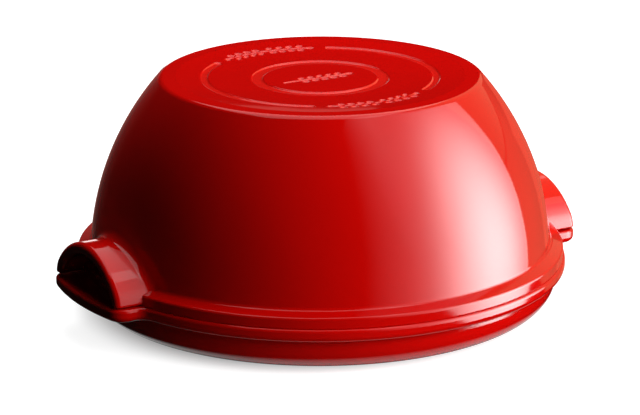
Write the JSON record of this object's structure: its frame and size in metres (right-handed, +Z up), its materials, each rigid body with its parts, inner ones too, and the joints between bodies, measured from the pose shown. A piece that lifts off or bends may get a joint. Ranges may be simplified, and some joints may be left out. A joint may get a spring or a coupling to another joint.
{
  "type": "bread cloche",
  "caption": "Glazed ceramic bread cloche: a tall round dome with two open hood handles standing on a shallow round dish with matching lugs.",
  "frame": {"origin": "on the axis of the dish, in the plane of the table that its foot ring stands on", "axes": "+Z up along the common axis of dish and dome, X through the two handles, Y across them"},
  "size_m": [0.326, 0.295, 0.14],
  "materials": {
    "red_glaze": "gloss"
  },
  "bodies": {
    "dish": {"dish": "red_glaze"},
    "dome": {"dome": "red_glaze"}
  },
  "joints": [
    {"name": "lid_lift", "type": "slide", "parent": "dish", "child": "dome", "axis": [0, 0, 1], "range_m": [0, 0.16]}
  ]
}
